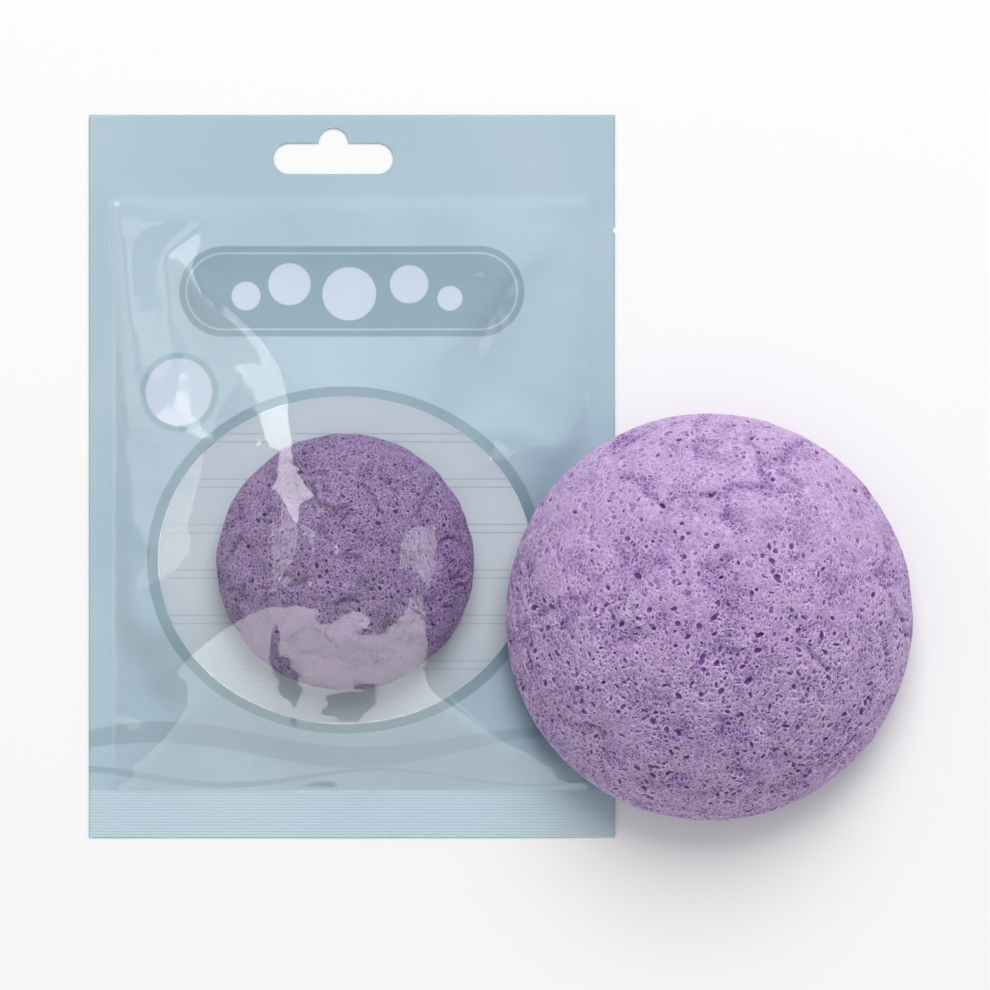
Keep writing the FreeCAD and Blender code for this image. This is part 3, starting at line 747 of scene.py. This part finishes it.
printLook = {
    "tint": tone(177, 198, 208), "tintDeep": tone(169, 193, 205), "tintCover": 0.84,
    "driftScale": 22.0, "driftDetail": 2.0,    # slow change of tint
    "seal": tone(190, 209, 219), "sealShare": 0.7,
    # pressed: a paler colour painted along the crimp lines as their highlight
    "pressed": tone(214, 228, 236), "pressGlintShare": 0.22,
    "dust": tone(214, 224, 232), "dustShare": 0.05, "dustScale": 2600.0,
    "roughness": (0.05, 0.1), "shine": 0.28, "coatIor": 4.0, "coatRoughness": 0.04,
    "dark": tone(137, 162, 174), "darkCover": 0.9,
    "wave": tone(154, 177, 188), "pale": tone(200, 210, 224), "paleCover": 0.8,
    "clear": tone(150, 155, 160), "clearCover": 0.08,
    "window": ((53.7, 58), (39, 34)), "windowRim": 2.2,
    "label": ((55, 114), (36, 9.5), 9.5),      # centre, half size, corner radius
    "keylineIn": 1.5, "keylineHalf": 0.18,     # fine line inside the label's edge
    "bubbles": ((33, 113, 3.0), (42, 115.5, 4.4), (54.5, 113.5, 5.6), (67, 115.5, 4.0), (75.5, 112.5, 2.6)),
    "badge": ((19, 93), 7.0), "badgeRim": 1.3,
    # level, height, length, phase and half width of each wave
    "waves": ((19.5, 2.6, 82, 0.4, 2.3), (12.6, 1.7, 64, 1.9, 0.7)),
    "waveThin": 0.4,                           # share of a wave's width at its thinnest
    "soft": 0.12,                              # softness of a printed edge
}
pressLook = {"edge": 0.5, "header": 0.35, "bumpStrength": 0.4, "bumpHeight": 0.02 * mm}
rearLook = {
    "tint": tone(203, 212, 219), "tintDeep": tone(194, 205, 213), "line": tone(178, 189, 197),
    "driftScale": 25.0, "driftDetail": 3.0,
    # pressed: a paler colour painted along the crimp lines as their highlight
    "pressed": tone(220, 228, 234), "pressGlintShare": 0.2, "roughness": (0.14, 0.24),
    "lines": (36, 45.5, 55, 64.5, 74, 83.5), "lineGap": 1.7, "lineHalf": 0.16, "lineSpan": (17, 92),
}


def perFace(cover):
    # a film has two faces, so each holds back its share of the light
    return 1 - (1 - cover) ** 0.5


def buildSealPress():
    # fine pressed lines of the heat seal, strong at the bottom and faint in the header
    inputs = [(name, "NodeSocketFloat") for name in ("Up", "Pitch", "Bottom", "Top")]
    masks = [(name, "NodeSocketFloat") for name in ("Line", "Bottom Seal")]
    group, given, result = newGroup("sealPress", "ShaderNodeTree", inputs, masks)
    edge = pressLook["edge"]
    turn = calc(group, "MULTIPLY", calc(group, "DIVIDE", given["Up"], given["Pitch"]), 2 * pi)
    wave = between(group, calc(group, "SINE", turn), -1.0, 1.0)
    overBottom = calc(group, "SUBTRACT", given["Up"], given["Bottom"])
    bottom = between(group, overBottom, -edge, 0.0, 1.0, 0.0)
    overTop = calc(group, "SUBTRACT", given["Up"], given["Top"])
    header = between(group, overTop, 0.0, edge, 0.0, pressLook["header"])
    feed(group, result["Line"], calc(group, "MULTIPLY", wave, calc(group, "ADD", bottom, header)))
    feed(group, result["Bottom Seal"], bottom)
    return group


def sheetPlace(tree):
    sheet = addNode(tree, "ShaderNodeUVMap", uv_map="sheet").outputs[0]
    axes = addNode(tree, "ShaderNodeSeparateXYZ", {0: sheet})
    across = calc(tree, "MULTIPLY", axes.outputs["X"], sheetSize[0] / mm)
    up = calc(tree, "MULTIPLY", axes.outputs["Y"], sheetSize[1] / mm)
    return across, up


def sealPress(tree, up, group):
    press = addNode(tree, "ShaderNodeGroup", node_tree=group)
    feed(tree, press.inputs["Up"], up)
    press.inputs["Pitch"].default_value = film["crimpPitch"] / mm
    press.inputs["Bottom"].default_value = film["bottomSeal"] / mm
    press.inputs["Top"].default_value = (sheetSize[1] - film["topSeal"]) / mm
    return press.outputs["Line"], press.outputs["Bottom Seal"]


def away(tree, value, centre):
    return calc(tree, "ABSOLUTE", calc(tree, "SUBTRACT", value, centre))


def inside(tree, distance, edge=0.0):
    # 1 where the distance is under the edge, with the soft edge of a print
    soft = printLook["soft"]
    return between(tree, distance, edge - soft, edge + soft, 1.0, 0.0)


def ovalDistance(tree, across, up, centre, radii):
    x = calc(tree, "DIVIDE", calc(tree, "SUBTRACT", across, centre[0]), radii[0])
    y = calc(tree, "DIVIDE", calc(tree, "SUBTRACT", up, centre[1]), radii[1])
    ring = calc(tree, "SQRT", calc(tree, "ADD", calc(tree, "MULTIPLY", x, x), calc(tree, "MULTIPLY", y, y)))
    return calc(tree, "MULTIPLY", calc(tree, "SUBTRACT", ring, 1.0), sum(radii) / 2)


def panelDistance(tree, across, up, centre, half, corner):
    x = calc(tree, "MAXIMUM", calc(tree, "SUBTRACT", away(tree, across, centre[0]), half[0] - corner), 0.0)
    y = calc(tree, "MAXIMUM", calc(tree, "SUBTRACT", away(tree, up, centre[1]), half[1] - corner), 0.0)
    out = calc(tree, "SQRT", calc(tree, "ADD", calc(tree, "MULTIPLY", x, x), calc(tree, "MULTIPLY", y, y)))
    return calc(tree, "SUBTRACT", out, corner)


def waveDistance(tree, across, up, level, height, length, phase, half):
    turn = calc(tree, "ADD", calc(tree, "MULTIPLY", across, 2 * pi / length), phase)
    line = calc(tree, "ADD", calc(tree, "MULTIPLY", calc(tree, "SINE", turn), height), level)
    slowTurn = calc(tree, "SINE", calc(tree, "MULTIPLY", turn, 0.5))
    swell = between(tree, slowTurn, -1.0, 1.0, half * printLook["waveThin"], half)
    gap = calc(tree, "ABSOLUTE", calc(tree, "SUBTRACT", up, line))
    return calc(tree, "SUBTRACT", gap, swell)


def driftingTint(tree, shader, coords, look):
    # a tint that changes slowly over the sheet, and the film's shine with it
    drift = noiseAt(tree, coords, look["driftScale"], look["driftDetail"]).outputs[0]
    feed(tree, shader.inputs["Roughness"], between(tree, drift, 0.3, 0.7, *look["roughness"]))
    return blendColour(tree, between(tree, drift, 0.35, 0.65), look["tintDeep"], look["tint"])


def pressLines(tree, shader, line, colour, look):
    # the pressed lines of the seals in relief, and a painted highlight along them in a paler colour
    bump = addNode(tree, "ShaderNodeBump", {
        "Strength": pressLook["bumpStrength"], "Distance": pressLook["bumpHeight"], "Height": line,
    })
    feed(tree, shader.inputs["Normal"], bump.outputs[0])
    return blendColour(tree, calc(tree, "MULTIPLY", line, look["pressGlintShare"]), colour, look["pressed"])


def tintedFilm(group):
    look = printLook
    material, tree, shader = newMaterial("tintedFilm")
    across, up = sheetPlace(tree)
    line, bottomSeal = sealPress(tree, up, group)
    coords = addNode(tree, "ShaderNodeTexCoord").outputs["Object"]
    colour = driftingTint(tree, shader, coords, look)
    colour = blendColour(tree, calc(tree, "MULTIPLY", bottomSeal, look["sealShare"]), colour, look["seal"])
    cover = perFace(look["tintCover"])

    window = ovalDistance(tree, across, up, *look["window"])
    label = panelDistance(tree, across, up, *look["label"])
    badge = ovalDistance(tree, across, up, look["badge"][0], (look["badge"][1],) * 2)
    waves = [waveDistance(tree, across, up, *wave) for wave in look["waves"]]
    keyline = calc(tree, "ABSOLUTE", calc(tree, "ADD", label, look["keylineIn"]))
    rings = [ovalDistance(tree, across, up, (x, y), (radius, radius)) for x, y, radius in look["bubbles"]]
    bubbles = [(inside(tree, ring), look["pale"], look["paleCover"]) for ring in rings]
    seeThrough = inside(tree, window)
    layers = [
        *((inside(tree, wave), look["wave"], look["darkCover"]) for wave in waves),
        (inside(tree, label), look["dark"], look["darkCover"]),
        (inside(tree, keyline, look["keylineHalf"]), look["tint"], look["tintCover"]),
        *bubbles,
        (inside(tree, window, look["windowRim"]), look["dark"], look["darkCover"]),
        (seeThrough, look["clear"], look["clearCover"]),
        (inside(tree, badge, look["badgeRim"]), look["wave"], look["darkCover"]),
        (inside(tree, badge), look["pale"], look["paleCover"]),
    ]
    for mask, ink, inkCover in layers:
        colour = blendColour(tree, mask, colour, ink)
        change = calc(tree, "SUBTRACT", perFace(inkCover), cover)
        cover = calc(tree, "ADD", cover, calc(tree, "MULTIPLY", mask, change))
    colour = pressLines(tree, shader, line, colour, look)
    dust = between(tree, noiseAt(tree, coords, look["dustScale"], 2.0).outputs[0], 0.5, 0.75)
    colour = blendColour(tree, calc(tree, "MULTIPLY", dust, look["dustShare"]), colour, look["dust"])
    feed(tree, shader.inputs["Base Color"], colour)
    feed(tree, shader.inputs["Alpha"], cover)
    feed(tree, shader.inputs["Coat Weight"], seeThrough)
    shader.inputs["Specular IOR Level"].default_value = look["shine"]
    shader.inputs["Coat IOR"].default_value = look["coatIor"]
    shader.inputs["Coat Roughness"].default_value = look["coatRoughness"]
    return material


def backingFilm(group):
    look = rearLook
    material, tree, shader = newMaterial("backingFilm")
    across, up = sheetPlace(tree)
    line = sealPress(tree, up, group)[0]
    coords = addNode(tree, "ShaderNodeTexCoord").outputs["Object"]
    colour = driftingTint(tree, shader, coords, look)
    first, last = look["lineSpan"]
    span = inside(tree, calc(tree, "SUBTRACT", away(tree, across, (first + last) / 2), (last - first) / 2))
    for level in look["lines"]:
        gap = calc(tree, "SUBTRACT", away(tree, up, level), look["lineGap"] / 2)
        rule = inside(tree, calc(tree, "ABSOLUTE", gap), look["lineHalf"])
        colour = blendColour(tree, calc(tree, "MULTIPLY", rule, span), colour, look["line"])
    feed(tree, shader.inputs["Base Color"], pressLines(tree, shader, line, colour, look))
    return material


sealGroup = buildSealPress()
frontPoints, frontRoom = filmGrid("front_film")
rearPoints, rearRoom = filmGrid("rear_film")
frontPoints = settleFilm(frontPoints, frontRoom)
frontMesh = filmMesh("frontFilm", frontPoints, frontRoom, pleats)
frontFilm = finishFilm("frontFilm", frontMesh, "front_film", tintedFilm(sealGroup))
frontFilm.visible_shadow = False
rearMesh = filmMesh("rearFilm", rearPoints, rearRoom, [])
finishFilm("rearFilm", rearMesh, "rear_film", backingFilm(sealGroup))


# Stage, light and camera

stage = {
    "pixel": 110 * mm / 526,   # size of a picture pixel on the floor
    "picture": 990,
    "originPixel": (500.25, 476.0),
    "cameraHeight": 2.0, "sensor": 36,
    "sees": 20,                # how far the camera sees, in metres
    "floorDrop": 0.2 * mm, "floorHalf": 3.0, "floorTone": (0.9, 0.9, 0.9, 1), "floorRoughness": 0.9,
    "sky": 0.57,               # soft light from all round
    # boxes of light: place, size, watts, and whether they light surfaces or only shine in the film
    "boxes": {
        "keyBox": ((0.25, 1.75, 2.1), (1.8, 1.8), 55.0, True),
        "lowShine": ((0.05, -0.90, 0.50), (2.3, 1.1), 46.0, False),
        "leftShine": ((-0.68, 0.57, 0.55), (0.45, 0.75), 10.5, False),
        "rightShine": ((0.85, -0.15, 0.40), (0.35, 0.45), 2.0, False),
        "edgeShine": ((-0.75, 0.16, 0.64), (0.5, 0.45), 2.4, False),
        "topShine": ((-0.41, 0.19, 1.11), (0.26, 0.22), 0.75, False),
    },
}


def makeStage():
    paint, _, shader = newMaterial("floorPaint")
    shader.inputs["Base Color"].default_value = stage["floorTone"]
    shader.inputs["Roughness"].default_value = stage["floorRoughness"]
    shader.inputs["Specular IOR Level"].default_value = 0.0
    floor = showMesh("floor", squareMesh("floor", stage["floorHalf"], -stage["floorDrop"]), paint)

    world = bpy.data.worlds.new("studio")
    scene.world = world
    world.use_nodes = True
    tree = world.node_tree
    background = tree.nodes["Background"]
    path = addNode(tree, "ShaderNodeLightPath")
    seen = path.outputs["Is Camera Ray"]
    for ray in ("Is Glossy Ray", "Is Transmission Ray"):
        seen = calc(tree, "MAXIMUM", seen, path.outputs[ray])
    background.inputs["Color"].default_value = (1, 1, 1, 1)
    feed(tree, background.inputs["Strength"], between(tree, seen, 0.0, 1.0, stage["sky"], 1.0, smooth=False))

    for name, (place, size, power, lights) in stage["boxes"].items():
        lamp = bpy.data.lights.new(name, "AREA")
        lamp.shape = "RECTANGLE"
        lamp.size, lamp.size_y = size
        lamp.energy = power
        box = bpy.data.objects.new(name, lamp)
        box.location = place
        box.rotation_euler = (-Vector(place)).to_track_quat("-Z", "Y").to_euler()
        box.visible_camera = False
        box.visible_diffuse = lights
        box.visible_glossy = not lights
        scene.collection.objects.link(box)


def makeCamera():
    lens = bpy.data.cameras.new("camera")
    camera = bpy.data.objects.new("camera", lens)
    half = stage["picture"] / 2
    x = (half - stage["originPixel"][0]) * stage["pixel"]
    y = (stage["originPixel"][1] - half) * stage["pixel"]
    camera.location = (x, y, stage["cameraHeight"])
    lens.sensor_width = stage["sensor"]
    lens.lens = lens.sensor_width * stage["cameraHeight"] / (stage["picture"] * stage["pixel"])
    lens.clip_end = stage["sees"]
    scene.collection.objects.link(camera)
    scene.camera = camera


makeStage()
makeCamera()
print("stage, light and camera are set")
